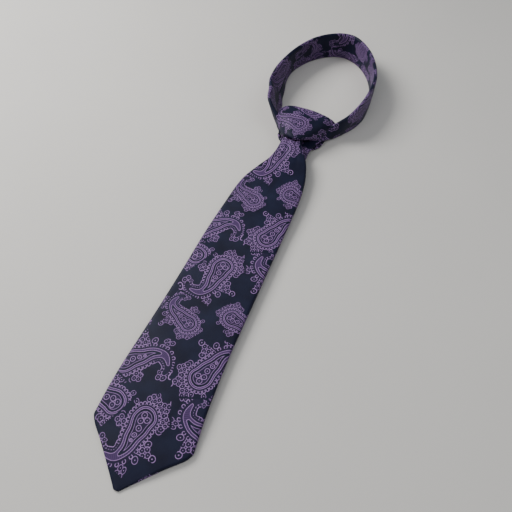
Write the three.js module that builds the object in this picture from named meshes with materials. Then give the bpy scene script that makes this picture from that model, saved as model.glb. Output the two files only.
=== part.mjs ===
// Necktie tied in a four-in-hand knot, lying on its back with the blade straight and the neck loop standing on its edge.
// Millimetres, +Z up. +Y runs from the point of the wide blade to the far end of the neck loop, +X is to the right.
// The geometry is laid out with Y = 0 at the blade's point; the whole group is then moved so that its origin is the
// centre of its base.
import * as THREE from "three";

// ---------- driving dimensions ----------
const GAP = 0.3; // clearance between neighbouring layers
const BLADE_SHELL_T = 0.8; // folded silk of the wide blade
const TAIL_SHELL_T = 0.6;
const NECK_SHELL_T = 0.7;
const BLADE_LINING_T = 1.2; // interlining in the wide blade
const TAIL_LINING_T = 0.8;
const NECK_LINING_T = 1.2;
const TIPPING_T = 0.35;
const BLADE_END_Y = 398.3; // where the blade meets the mouth of the knot
const FOLD_Y = 205; // where the blade folds in half
const FOLD_GAP = 0.4;
const SEAM_HALF = 0.6; // half the width of the centre-back seam opening
const HEM = 9; // width of the turned hem around the tipping
const TAIL_TIP_Y = 126;
const TAIL_TOP_Y = 431;
const TAIL_T = 3.2;
const KNOT_Y0 = 400; // mouth of the knot
const KNOT_Y1 = 446; // top edge of the knot
const WRAP_T = 3.0; // doubled, padded cloth of the front wrap
const NECK_T = 4.6; // folded thickness of the neck band

// wide blade: [Y, left edge X, right edge X, underside Z, thickness]
const BLADE = [
  [0.8, -2.2, 2.2, 0, 3.4],
  [4, -5.2, 5.2, 0, 3.8],
  [13, -14.2, 13.8, 0, 4.4],
  [28, -29.5, 28.4, 0, 4.6],
  [41, -43.4, 41.4, 0.2, 4.6],
  [45.5, -45.9, 43.4, 0.5, 4.6],
  [56, -45.9, 42.4, 1.5, 4.6],
  [66, -45.8, 41.4, 2.6, 4.6],
  [78, -45.4, 40.4, 3.6, 4.6],
  [91, -45.0, 39.6, 4.1, 4.6],
  [104, -44.3, 39.0, 4.3, 4.6],
  [117, -43.5, 38.4, 4.5, 4.6],
  [130, -42.8, 38.0, 4.6, 4.6],
  [143, -42.1, 37.8, 4.6, 4.6],
  [175, -41.0, 37.8, 4.6, 4.7],
  [205, -40.2, 37.7, 4.6, 4.8],
  [240, -39.6, 37.6, 4.7, 4.8],
  [268, -38.0, 37.6, 5.3, 4.9],
  [293, -35.8, 37.8, 6.1, 5.0],
  [313, -34.0, 37.6, 6.9, 5.1],
  [330, -30.6, 36.6, 7.6, 5.3],
  [348, -22.8, 34.0, 8.6, 5.7],
  [368, -13.6, 28.4, 10.0, 6.4],
  [383, -11.2, 21.0, 11.6, 7.4],
  [398.3, -11.0, 12.0, 13.5, 8.4],
];

// narrow blade (tail): [Y, left X, right X, underside Z]
const TAIL = [
  [126.8, -2.0, 2.0, 0],
  [132, -7.0, 7.0, 0],
  [139, -14, 14, 0],
  [146.5, -21.3, 21.3, 0],
  [150, -22.0, 22.2, 0],
  [170, -21.6, 22.0, 0],
  [210, -20.4, 21.8, 0],
  [250, -18.8, 21.8, 0],
  [290, -16.8, 22.0, 0.05],
  [320, -14.8, 22.4, 1.0],
  [350, -12.6, 22.8, 2.4],
  [375, -10.4, 22.8, 3.6],
  [395, -8.6, 22.4, 4.15],
  [412, -5.0, 27.0, 4.2],
  [431, 2.0, 35.5, 4.2],
];

// knot outline: [Y, left X, right X, top Z]
const KNOT = [
  [400, -12.4, 14.6, 24.0],
  [407, -16.4, 18.2, 25.8],
  [415, -20.8, 22.6, 27.6],
  [424, -25.4, 28.0, 29.0],
  [433, -28.4, 33.6, 29.8],
  [440, -29.0, 38.0, 29.8],
  [446, -28.0, 40.6, 28.2],
];

// neck band, clockwise from the left of the knot: centre of the lower edge, then of the upper edge
const NECK = [
  [[-34.5, 438, 0], [-41.0, 437, 33.5]],
  [[-39.5, 456, 0], [-48.0, 455, 35.5]],
  [[-43.5, 477, 0], [-54.6, 477, 36.3]],
  [[-46.0, 500, 0], [-55.6, 499, 36.4]],
  [[-50.6, 524, 0], [-51.4, 523, 36.4]],
  [[-50.0, 546, 0], [-46.0, 544, 36.4]],
  [[-43.0, 565, 0], [-38.6, 562.5, 36.4]],
  [[-31.4, 582.5, 0], [-28.6, 580, 36.4]],
  [[-16.0, 596, 0], [-15.2, 592.6, 36.4]],
  [[0.5, 602.8, 0], [0.5, 600.4, 36.4]],
  [[17.0, 600.0, 0], [15.6, 600.8, 36.4]],
  [[31.5, 590.4, 0], [28.8, 593.0, 36.4]],
  [[44.0, 576, 0], [41.4, 579.0, 36.4]],
  [[53.8, 559, 0], [52.4, 561.0, 36.4]],
  [[60.4, 540, 0], [60.4, 541.0, 36.4]],
  [[63.2, 520, 0], [65.0, 520.0, 36.4]],
  [[64.2, 500, 0], [65.6, 499.0, 36.2]],
  [[62.6, 480, 0], [63.8, 478.5, 35.8]],
  [[55.6, 461, 0], [59.6, 460.0, 34.4]],
  [[46.4, 447, 0], [53.4, 446.0, 31.0]],
];
const NECK_SAMPLES = 46;
const NECK_SEAM_1 = 0.3; // bias seam, left strand to back panel, as a share of the band
const NECK_SEAM_2 = 0.7; // bias seam, back panel to right strand
const SEAM_SKEW = 0.035;

// ---------- helpers ----------
const lerp = (a, b, t) => a + (b - a) * t;

function table(rows, y) {
  if (y <= rows[0][0]) return rows[0].slice(1);
  for (let i = 1; i < rows.length; i++) {
    if (y <= rows[i][0]) {
      const t = (y - rows[i - 1][0]) / (rows[i][0] - rows[i - 1][0]);
      return rows[i].slice(1).map((v, k) => lerp(rows[i - 1][k + 1], v, t));
    }
  }
  return rows[rows.length - 1].slice(1);
}

// Triangles of an outline. Each point is nudged by a micron or so here, so that none on a straight run is left out.
function flatEnd(outline) {
  const contour = outline.map((p, i) => new THREE.Vector2(p[0] + 1.3e-3 * Math.sin(17.3 * i), p[1] + 1.3e-3 * Math.cos(11.1 * i)));
  return THREE.ShapeUtils.triangulateShape(contour, []);
}

// Closed solid through a list of matching outlines, each a list of Vector3; flat ends cut from the outline's own polygon.
function loft(outlines, flat) {
  const n = outlines[0].length;
  const verts = [];
  const tris = [];
  for (const ring of outlines) for (const p of ring) verts.push(p);
  for (let i = 0; i + 1 < outlines.length; i++) {
    for (let j = 0; j < n; j++) {
      const k = (j + 1) % n;
      const a = i * n + j, b = i * n + k, c = (i + 1) * n + j, d = (i + 1) * n + k;
      tris.push([a, b, d], [a, d, c]);
    }
  }
  const last = (outlines.length - 1) * n;
  for (const t of flatEnd(flat[0])) tris.push([t[0], t[2], t[1]]);
  for (const t of flatEnd(flat[1])) tris.push([last + t[0], last + t[1], last + t[2]]);
  return solid(verts, tris);
}

function solid(verts, tris) {
  let volume = 0;
  for (const [a, b, c] of tris) {
    volume += verts[a].dot(new THREE.Vector3().crossVectors(verts[b], verts[c])) / 6;
  }
  const index = [];
  for (const [a, b, c] of tris) index.push(a, volume > 0 ? b : c, volume > 0 ? c : b);
  const position = new Float32Array(verts.length * 3);
  verts.forEach((v, i) => position.set([v.x, v.y, v.z], i * 3));
  const geometry = new THREE.BufferGeometry();
  geometry.setAttribute("position", new THREE.BufferAttribute(position, 3));
  geometry.setIndex(index);
  geometry.computeVertexNormals();
  return geometry;
}

// Folded envelope: a flat tube of cloth with rolled edges, open along the back between gl and gr.
// Coordinates are s across the width and n through the thickness, n = 0 at the back.
function envelope(sl, sr, T, t, gl, gr) {
  const half = (sr - sl) / 2;
  const r = Math.min(T * 0.46, half * 0.5);
  const mid = (sl + sr) / 2;
  const inner = Math.max(half - t * 1.1, half * 0.42);
  const il = mid - inner, ir = mid + inner;
  const ri = Math.min(Math.max(0.4, r - t), inner * 0.3);
  const a = Math.max(gl, il + ri + 0.1), b = Math.min(gr, ir - ri - 0.1);
  const g0 = Math.min(a, b - 0.2), g1 = Math.max(b, a + 0.2);
  const pts = [[g1, 0]];
  const corner = (cx, cy, rad, a0, a1, steps) => {
    for (let i = 0; i <= steps; i++) {
      const q = lerp(a0, a1, i / steps);
      pts.push([cx + rad * Math.cos(q), cy + rad * Math.sin(q)]);
    }
  };
  const P = Math.PI;
  corner(sr - r, r, r, -P / 2, 0, 3);
  corner(sr - r, T - r, r, 0, P / 2, 3);
  corner(sl + r, T - r, r, P / 2, P, 3);
  corner(sl + r, r, r, P, 1.5 * P, 3);
  pts.push([g0, 0], [g0, t]);
  pts.push([il + ri, t], [il, t + ri], [il, T - t - ri], [il + ri, T - t]);
  pts.push([ir - ri, T - t], [ir, T - t - ri], [ir, t + ri], [ir - ri, t], [g1, t]);
  return pts;
}

// how far a layer laid inside such an envelope stays from its outer edge
const edgeInset = (T, t) => t * 1.1 + Math.max(0.4, T * 0.46 - t) + GAP;

const bar = (sl, sr, n0, n1) => [[sl, n0], [sr, n0], [sr, n1], [sl, n1]];

// Solid whose sections stand across +Y: section(y) returns {pts, z} with pts in X and Z above z.
function alongY(ys, section) {
  const flats = ys.map((y) => section(y));
  const rings = flats.map((pts, i) => pts.map(([x, z]) => new THREE.Vector3(x, ys[i], z)));
  return loft(rings, [flats[0], flats[flats.length - 1]]);
}

const material = (color, roughness, metalness = 0) => new THREE.MeshStandardMaterial({ color, roughness, metalness });
const SILK = material(0x1b2440, 0.45);
const SILK_KNOT = material(0x1f2a49, 0.45);
const WOOL = material(0xd9d2c0, 0.95);
const LINING = material(0x1a1d33, 0.4);
const THREAD = material(0x2c3350, 0.7);
const LABEL = material(0x14161f, 0.6);

const tie = new THREE.Group();
function add(name, geometry, mat) {
  const mesh = new THREE.Mesh(geometry, mat);
  mesh.name = name;
  tie.add(mesh);
  return mesh;
}

// ---------- wide blade ----------
const bladeAt = (y) => {
  const [l, r, z, T] = table(BLADE, y);
  return { l, r, z, T };
};
// the back is open below the bar tack, where the tipping shows inside a turned hem
function backOpening(y, l, r, tipY, openY, closeY, hem) {
  if (y >= closeY) return SEAM_HALF;
  const half = Math.min(-l, r);
  const open = Math.max(SEAM_HALF, half - hem * (y < openY ? 1.42 : 1));
  if (y <= openY) return y < tipY + hem * 1.42 ? SEAM_HALF : open;
  return lerp(open, SEAM_HALF, (y - openY) / (closeY - openY));
}
const bladeShell = (y) => {
  const { l, r, z, T } = bladeAt(y);
  const g = backOpening(y, l, r, 0, 45.5, 104, HEM);
  return envelope(l, r, T, BLADE_SHELL_T, -g, g).map(([s, n]) => [s, n + z]);
};
const lowerY = BLADE.map((r) => r[0]).filter((y) => y < FOLD_Y - 1).concat([FOLD_Y - FOLD_GAP / 2]);
const upperY = [FOLD_Y + FOLD_GAP / 2].concat(BLADE.map((r) => r[0]).filter((y) => y > FOLD_Y + 1));
add("front_blade_lower_shell", alongY(lowerY, bladeShell), SILK);
add("front_blade_upper_shell", alongY(upperY, bladeShell), SILK);

const bladeLining = (y) => {
  const { l, r, z, T } = bladeAt(y);
  const top = z + T - BLADE_SHELL_T - GAP;
  const inset = edgeInset(T, BLADE_SHELL_T);
  return bar(l + inset, r - inset, top - BLADE_LINING_T, top);
};
const liningLower = [8].concat(lowerY.filter((y) => y > 12));
add("front_blade_lower_interlining", alongY(liningLower, bladeLining), WOOL);
add("front_blade_upper_interlining", alongY(upperY, bladeLining), WOOL);

// tipping: lining cloth behind the point, seen between the hems
const tippingY = [9, 13, 28, 41, 45.5, 56, 66, 78, 91, 104, 117];
add("front_blade_tipping", alongY(tippingY, (y) => {
  const { l, r, z, T } = bladeAt(y);
  const inset = edgeInset(T, BLADE_SHELL_T) + 0.4;
  const n0 = z + BLADE_SHELL_T + GAP;
  return bar(l + inset, r - inset, n0, n0 + TIPPING_T);
}), LINING);

// bar tack closing the seam above the tipping, sunk in the end of the opening
add("front_bar_tack", alongY([98.0, 100.5], (y) => {
  const { z } = bladeAt(y);
  return bar(-1.9, 1.9, z + 0.15, z + 0.75);
}), THREAD);

// slip stitch: one long loose thread inside the centre-back seam
const stitch = (a, b, at) => {
  const ys = [];
  for (let y = a; y < b; y += 24) ys.push(y);
  ys.push(b);
  return alongY(ys, (y) => {
    const z = at(y);
    return bar(-0.2, 0.2, z + 0.2, z + 0.6);
  });
};
add("front_lower_slip_stitch", stitch(108, FOLD_Y - FOLD_GAP / 2, (y) => bladeAt(y).z), THREAD);
add("front_upper_slip_stitch", stitch(FOLD_Y + FOLD_GAP / 2, 330, (y) => bladeAt(y).z), THREAD);

// keeper loop across the back of the blade and the blank label above it, between the blade and the tail
const across = (y0, y1, half, drop, thick) => alongY([y0, y1], (y) => {
  const { z } = bladeAt(y);
  return bar(-half, half, z - drop - thick, z - drop);
});
add("keeper_loop", across(214, 226, 25, GAP, 0.35), SILK);
add("maker_label", across(234, 254, 24, GAP, 0.3), LABEL);

// ---------- narrow blade ----------
const tailAt = (y) => {
  const [l, r, z] = table(TAIL, y);
  return { l, r, z, T: TAIL_T };
};
const tailY = TAIL.map((r) => r[0]);
add("tail_shell", alongY(tailY, (y) => {
  const { l, r, z, T } = tailAt(y);
  const g = backOpening(y, l, r, 126, 146.5, 182, 6.5);
  const mid = y > 290 ? (l + r) / 2 : 0;
  return envelope(l, r, T, TAIL_SHELL_T, mid - g, mid + g).map(([s, n]) => [s, n + z]);
}), SILK);
add("tail_interlining", alongY([134].concat(tailY.filter((y) => y > 136)), (y) => {
  const { l, r, z, T } = tailAt(y);
  const inset = edgeInset(T, TAIL_SHELL_T);
  const top = z + T - TAIL_SHELL_T - GAP;
  return bar(l + inset, r - inset, top - TAIL_LINING_T, top);
}), WOOL);
add("tail_tipping", alongY([135, 139, 146.5, 150, 170, 190], (y) => {
  const { l, r, z, T } = tailAt(y);
  const inset = edgeInset(T, TAIL_SHELL_T) + 0.4;
  const n0 = z + TAIL_SHELL_T + GAP;
  return bar(l + inset, r - inset, n0, n0 + 0.25);
}), LINING);
add("tail_bar_tack", alongY([178, 180], () => bar(-1.0, 1.0, 0.1, 0.55)), THREAD);
add("tail_slip_stitch", stitch(186, 288, () => -0.05), THREAD);
add("fibre_label", alongY([158, 167], () => bar(-5.4, 5.4, 0.1, 0.55)), LABEL);

// ---------- knot ----------
const knotAt = (y) => {
  const [l, r, top] = table(KNOT, y);
  return { l, r, top };
};
const knotY = KNOT.map((r) => r[0]);
const CHANNEL_TOP = 8.6; // clear height for the narrow end, which slides through the back of the knot
// front wrap: the band seen from the front, turning under at both sides
add("knot_front_wrap", alongY(knotY, (y) => {
  const { l, r, top } = knotAt(y);
  const w = r - l;
  const t = WRAP_T;
  const hr = CHANNEL_TOP;
  const outer = [
    [r - 2.2, hr], [r - 0.3, 11.5], [r - 1.2, 15], [r - w * 0.12, top - 5.4], [r - w * 0.26, top - 1.4],
    [r - w * 0.45, top], [l + w * 0.26, top - 0.4], [l + w * 0.11, top - 3.6], [l + 0.6, 15.5], [l, 9.5], [l + 1.6, 3.9],
  ];
  const inner = [
    [l + 1.6 + t, 3.9], [l + t + 0.2, 9.5], [l + t + 0.9, 15.5], [l + w * 0.11 + t * 0.72, top - 3.6 - t * 0.75],
    [l + w * 0.26 + 0.6, top - 0.4 - t], [r - w * 0.45 - 0.3, top - t], [r - w * 0.26 - 0.9, top - 1.4 - t],
    [r - w * 0.12 - t * 0.8, top - 5.4 - t * 0.6], [r - 1.2 - t, 15], [r - 0.3 - t, 11.5], [r - 2.2 - t, hr],
  ];
  return outer.concat(inner);
}), SILK_KNOT);
// back wrap: the layer that passes behind the narrow end and rests on the surface
add("knot_back_wrap", alongY([401, 407, 415, 424, 433, 440, 445], (y) => {
  const { l, r } = knotAt(y);
  return [[l + 4.6, 0], [r - 5.2, 0], [r - 3.2, 1.6], [r - 3.6, 3.5], [l + 3.2, 3.5], [l + 3.0, 1.6]];
}), SILK_KNOT);
// inner cross: the first pass over the narrow end, hidden under the front wrap
add("knot_inner_cross", alongY([402, 407, 415, 424, 433, 440, 444], (y) => {
  const { l, r, top } = knotAt(y);
  const h = lerp(12.8, 19.4, (y - 400) / 46);
  return [
    [l + WRAP_T + 2.6, CHANNEL_TOP + 0.3], [r - WRAP_T - 3.2, CHANNEL_TOP + 0.3], [r - WRAP_T - 2.4, 11.2],
    [r - WRAP_T - 4.4, h - 1.0], [r - WRAP_T - 7.0, h], [l + WRAP_T + 5.6, h], [l + WRAP_T + 3.0, h - 1.6], [l + WRAP_T + 1.6, 10.6],
  ];
}), SILK_KNOT);
// down pass: the blade coming over the top edge and down through the wrap to the mouth
add("knot_down_pass", alongY([400.4, 407, 415, 424, 433, 440, 446.5, 449.2], (y) => {
  const q = Math.min(1, (y - 400.4) / 46);
  const { top } = knotAt(Math.min(y, 446));
  const low = lerp(13.4, 20.0, q);
  const high = Math.min(top - WRAP_T - 0.6, lerp(19.6, 25.6, q)) - (y > 448 ? 1.6 : 0);
  const xl = lerp(-7.4, -17, q), xr = lerp(7.6, 21, q), c = 0.24 * (xr - xl);
  return [[xl + 1, low], [xr - 1, low], [xr, lerp(low, high, 0.4)], [xr - c, high - 0.6], [xl + 2 * c, high], [xl + c, high - 0.6], [xl, lerp(low, high, 0.4)]];
}), SILK_KNOT);

// ---------- neck band ----------
const lowEdge = new THREE.CatmullRomCurve3(NECK.map(([a]) => new THREE.Vector3(...a)), false, "centripetal");
const topEdge = new THREE.CatmullRomCurve3(NECK.map(([, b]) => new THREE.Vector3(...b)), false, "centripetal");
const LIFT = new THREE.Vector3(0, 0, 0.1); // the leaning band's lower corner stays on the surface
// section of the band at u: skew slides the lower edge ahead of the upper one, for the bias seams
function neckRing(u, skew, shape) {
  const at = (v) => {
    const q = THREE.MathUtils.clamp(v, 0, 1);
    return [lowEdge.getPoint(q), topEdge.getPoint(q)];
  };
  return shape.map(([s, n]) => {
    // s runs 0..1 up the band; n is millimetres from the inner face
    const [a, b] = at(u + skew * (0.5 - s));
    const [a2, b2] = at(u + skew * (0.5 - s) + 0.004);
    const [a1, b1] = at(u + skew * (0.5 - s) - 0.004);
    const along = a2.clone().add(b2).sub(a1).sub(b1).normalize();
    const up = b.clone().sub(a).normalize();
    const out = new THREE.Vector3().crossVectors(up, along).normalize();
    return a.clone().lerp(b, s).addScaledVector(out, n - NECK_T / 2).add(LIFT);
  });
}
function neckPiece(u0, u1, k0, k1, shape) {
  const m = Math.max(3, Math.round(NECK_SAMPLES * (u1 - u0)));
  const rings = [];
  for (let i = 0; i <= m; i++) {
    const u = lerp(u0, u1, i / m);
    const near0 = Math.max(0, 1 - (u - u0) / 0.09), near1 = Math.max(0, 1 - (u1 - u) / 0.09);
    rings.push(neckRing(u, k0 * near0 + k1 * near1, shape));
  }
  return loft(rings, [shape.map(([s, n]) => [s * 36, n]), shape.map(([s, n]) => [s * 36, n])]);
}
const H = 36.4;
// the long sides get points between their ends, so that the bias seams stay on the curve of the band
function densify(shape, step) {
  const out = [];
  shape.forEach((p, i) => {
    const q = shape[(i + 1) % shape.length];
    const m = Math.max(1, Math.round(Math.hypot(q[0] - p[0], q[1] - p[1]) / step));
    for (let k = 0; k < m; k++) out.push([lerp(p[0], q[0], k / m), lerp(p[1], q[1], k / m)]);
  });
  return out;
}
const bandShape = densify(envelope(0, H, NECK_T, NECK_SHELL_T, H / 2 - SEAM_HALF, H / 2 + SEAM_HALF), 8.5).map(([s, n]) => [s / H, n]);
const SEAM_GAP = 0.0009;
add("neck_left_shell", neckPiece(0.0, NECK_SEAM_1 - SEAM_GAP, 0, SEAM_SKEW * 2, bandShape), SILK);
add("neck_back_panel", neckPiece(NECK_SEAM_1 + SEAM_GAP, NECK_SEAM_2 - SEAM_GAP, SEAM_SKEW * 2, -SEAM_SKEW * 2, bandShape), SILK);
add("neck_right_shell", neckPiece(NECK_SEAM_2 + SEAM_GAP, 1.0, -SEAM_SKEW * 2, 0, bandShape), SILK);
const liningInset = (edgeInset(NECK_T, NECK_SHELL_T) + 0.4) / H;
const liningN0 = (NECK_T - NECK_LINING_T) / 2;
const liningShape = bar(liningInset, 1 - liningInset, liningN0, liningN0 + NECK_LINING_T);
add("neck_interlining", neckPiece(0.006, 0.994, 0, 0, liningShape), WOOL);

// ---------- origin at the centre of the base ----------
const box = new THREE.Box3().setFromObject(tie);
const centre = box.getCenter(new THREE.Vector3());
tie.position.set(-centre.x, -centre.y, -box.min.z);
tie.updateMatrixWorld(true);

export default tie;
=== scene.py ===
import math

import bpy
import numpy as np
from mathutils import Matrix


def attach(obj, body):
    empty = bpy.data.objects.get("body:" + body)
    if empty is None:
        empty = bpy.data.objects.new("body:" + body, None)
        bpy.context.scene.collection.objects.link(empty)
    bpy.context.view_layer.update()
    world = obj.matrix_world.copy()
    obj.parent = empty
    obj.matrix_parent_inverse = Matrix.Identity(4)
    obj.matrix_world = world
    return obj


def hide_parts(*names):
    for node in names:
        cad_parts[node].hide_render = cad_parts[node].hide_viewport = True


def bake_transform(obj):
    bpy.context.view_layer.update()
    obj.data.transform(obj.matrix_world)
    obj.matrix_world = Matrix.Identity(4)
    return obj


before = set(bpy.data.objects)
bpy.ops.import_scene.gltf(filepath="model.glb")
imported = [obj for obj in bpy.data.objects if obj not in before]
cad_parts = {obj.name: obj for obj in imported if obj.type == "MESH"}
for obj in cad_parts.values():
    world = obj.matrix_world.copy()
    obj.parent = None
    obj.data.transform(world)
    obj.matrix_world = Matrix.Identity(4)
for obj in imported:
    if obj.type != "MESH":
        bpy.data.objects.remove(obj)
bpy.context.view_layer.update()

# ------------------------------------------------------------------ frame
# Shapes are written in millimetres from the blade's point, +Y along the tie, and moved to the row frame here.
OX, OY = -5.254354, -302.927008


def row(p):
    p = np.asarray(p, float)
    return (p + np.array([OX, OY, 0.0])) / 1000.0


def at(x, y, z):
    return tuple(float(c) for c in row((x, y, z)))


# ------------------------------------------------------------------ camera
cam = bpy.data.cameras.new("camera")
cam.lens = 36.07
cam.sensor_width = 36.0
cam.sensor_fit = "HORIZONTAL"
cam.clip_start = 0.01
camera = bpy.data.objects.new("camera", cam)
camera.location = (0.123157, -0.341647, 0.415)
camera.rotation_euler = (math.radians(36.0), 0.0, math.radians(21.4735))
bpy.context.scene.collection.objects.link(camera)
bpy.context.scene.camera = camera


# ------------------------------------------------------------------ tables
BLADE = np.array([
    [0.8, -2.2, 2.2, 0, 3.4], [4, -5.2, 5.2, 0, 3.8], [13, -14.2, 13.8, 0, 4.4], [28, -29.5, 28.4, 0, 4.6],
    [41, -43.4, 41.4, 0.2, 4.6], [45.5, -45.9, 43.4, 0.5, 4.6], [56, -45.9, 42.4, 1.5, 4.6], [66, -45.8, 41.4, 2.6, 4.6],
    [78, -45.4, 40.4, 3.6, 4.6], [91, -45, 39.6, 4.1, 4.6], [104, -44.3, 39, 4.3, 4.6], [117, -43.5, 38.4, 4.5, 4.6],
    [130, -42.8, 38, 4.6, 4.6], [143, -42.1, 37.8, 4.6, 4.6], [175, -41, 37.8, 4.6, 4.7], [205, -40.2, 37.7, 4.6, 4.8],
    [240, -39.6, 37.6, 4.7, 4.8], [268, -38, 37.6, 5.3, 4.9], [293, -35.8, 37.8, 6.1, 5], [313, -34, 37.6, 6.9, 5.1],
    [330, -30.6, 36.6, 7.6, 5.3], [348, -22.8, 34, 8.6, 5.7], [368, -13.6, 28.4, 10, 6.0], [383, -11.2, 21, 11.2, 6.4],
    [398.3, -11, 12.2, 12.2, 6.2], [408, -11, 11.5, 12.6, 5.6]])
TAIL = np.array([
    [126.8, -2, 2, 0], [132, -7, 7, 0], [139, -14, 14, 0], [146.5, -21.3, 21.3, 0], [150, -22, 22.2, 0],
    [170, -21.6, 22, 0], [210, -20.4, 21.8, 0], [250, -18.8, 21.8, 0], [290, -16.8, 22, 0.05], [320, -14.8, 22.4, 1],
    [350, -12.6, 22.8, 2.4], [375, -10.4, 22.8, 3.6], [395, -8.6, 22.4, 4.0], [412, -7.5, 22.8, 3.9], [431, -6, 23.4, 3.8]])
KNOT = np.array([
    [396, -11.4, 13.4, 22.8], [400, -12.2, 16.0, 24], [407, -15.6, 20.6, 25.8], [415, -20.6, 25.6, 27.6],
    [424, -26.6, 31, 29], [433, -31.2, 36.4, 29.8], [440, -32.4, 41, 29.8], [447, -31, 43.4, 28.4]])
NECK = np.array([
    [-17.5, 421, 6, -12, 422, 15], [-23.5, 427, 3, -21, 425, 18.5], [-26.5, 432.5, 1, -31, 429.5, 25],
    [-29.5, 438, 0, -41.5, 437, 33.5], [-34.6, 456, 0, -48.6, 455, 35.5], [-40.4, 477, 0, -54.8, 477, 36.3],
    [-45, 500, 0, -55.6, 499, 36.4], [-50.6, 524, 0, -51.4, 523, 36.4], [-50, 546, 0, -46, 544, 36.4],
    [-43, 565, 0, -38.6, 562.5, 36.4], [-31.4, 582.5, 0, -28.6, 580, 36.4], [-16, 596, 0, -15.2, 592.6, 36.4],
    [0.5, 602.8, 0, 0.5, 600.4, 36.4], [17, 600, 0, 15.6, 600.8, 36.4], [31.5, 590.4, 0, 28.8, 593, 36.4],
    [44, 576, 0, 41.4, 579, 36.4], [53.8, 559, 0, 52.4, 561, 36.4], [60.4, 540, 0, 60.4, 541, 36.4],
    [63.2, 520, 0, 65, 520, 36.4], [64.2, 500, 0, 65.6, 499, 36.2], [62.6, 480, 0, 63.8, 478.5, 35.8],
    [55.6, 461, 0, 59.6, 460, 34.4], [46.4, 447, 0.3, 53.4, 446, 31], [39.8, 436.5, 1.4, 44, 438.5, 25.5],
    [34.2, 427, 4.0, 33, 433, 19], [30.2, 418, 7.0, 18, 428, 14.0], [27, 409, 8.7, 4, 420, 11.0],
    [24.6, 400, 9.1, -4, 408, 9.8], [23, 390, 8.9, -8, 395, 9.4], [22.6, 381, 8.6, -9, 381, 9.0], [22.4, 374, 8.4, -9.2, 374, 8.7]])


def pchip(xs, ys, x):
    """Shape-keeping cubic through a table."""
    xs, ys, x = np.asarray(xs, float), np.asarray(ys, float), np.asarray(x, float)
    h = np.diff(xs)
    d = np.diff(ys) / h
    m = np.zeros(len(xs))
    for i in range(1, len(xs) - 1):
        if d[i - 1] * d[i] > 0:
            w1, w2 = 2 * h[i] + h[i - 1], h[i] + 2 * h[i - 1]
            m[i] = (w1 + w2) / (w1 / d[i - 1] + w2 / d[i])
    m[0], m[-1] = d[0], d[-1]
    k = np.clip(np.searchsorted(xs, x) - 1, 0, len(xs) - 2)
    t = (x - xs[k]) / h[k]
    return ((2 * t**3 - 3 * t**2 + 1) * ys[k] + (t**3 - 2 * t**2 + t) * h[k] * m[k]
            + (-2 * t**3 + 3 * t**2) * ys[k + 1] + (t**3 - t**2) * h[k] * m[k + 1])


def table(tab, y):
    return [pchip(tab[:, 0], tab[:, c], y) for c in range(1, tab.shape[1])]


def smooth(a, b, x):
    t = np.clip((np.asarray(x, float) - a) / (b - a), 0, 1)
    return t * t * (3 - 2 * t)


def resample(points, n):
    """A polyline at n equal steps of its own length."""
    p = np.asarray(points, float)
    s = np.concatenate([[0], np.cumsum(np.linalg.norm(np.diff(p, axis=0), axis=1))])
    t = np.linspace(0, s[-1], n)
    return np.stack([np.interp(t, s, p[:, c]) for c in range(p.shape[1])], axis=1)


# ------------------------------------------------------------------ meshes
def outward(me):
    """Faces of a closed mesh point out."""
    import bmesh
    bm = bmesh.new()
    bm.from_mesh(me)
    if bm.calc_volume(signed=True) < 0:
        bmesh.ops.reverse_faces(bm, faces=bm.faces)
        bm.to_mesh(me)
    bm.free()


def mesh_object(name, verts, faces, uv=None, sharp=None, material=None):
    me = bpy.data.meshes.new(name)
    me.from_pydata([tuple(v) for v in row(verts)], [], faces)
    me.shade_smooth()
    if uv is not None:
        layer = me.uv_layers.new(name="cloth")
        idx = np.empty(len(me.loops), np.int32)
        me.loops.foreach_get("vertex_index", idx)
        layer.data.foreach_set("uv", np.asarray(uv, np.float32)[idx].ravel())
    if sharp is not None and len(sharp):
        flag = me.attributes.new("sharp_edge", "BOOLEAN", "EDGE")
        ends = np.empty(len(me.edges) * 2, np.int32)
        me.edges.foreach_get("vertices", ends)
        ends = ends.reshape(-1, 2)
        mark = np.zeros(len(verts), bool)
        mark[list(sharp)] = True
        flag.data.foreach_set("value", mark[ends[:, 0]] & mark[ends[:, 1]])
    me.validate()
    outward(me)
    ob = bpy.data.objects.new(name, me)
    bpy.context.scene.collection.objects.link(ob)
    if material is not None:
        me.materials.append(material)
    return ob


def grid_normals(C):
    di = np.gradient(C, axis=1)
    dk = np.gradient(C, axis=0)
    n = np.cross(di, dk)
    return n / np.maximum(np.linalg.norm(n, axis=2, keepdims=True), 1e-9)


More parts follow.
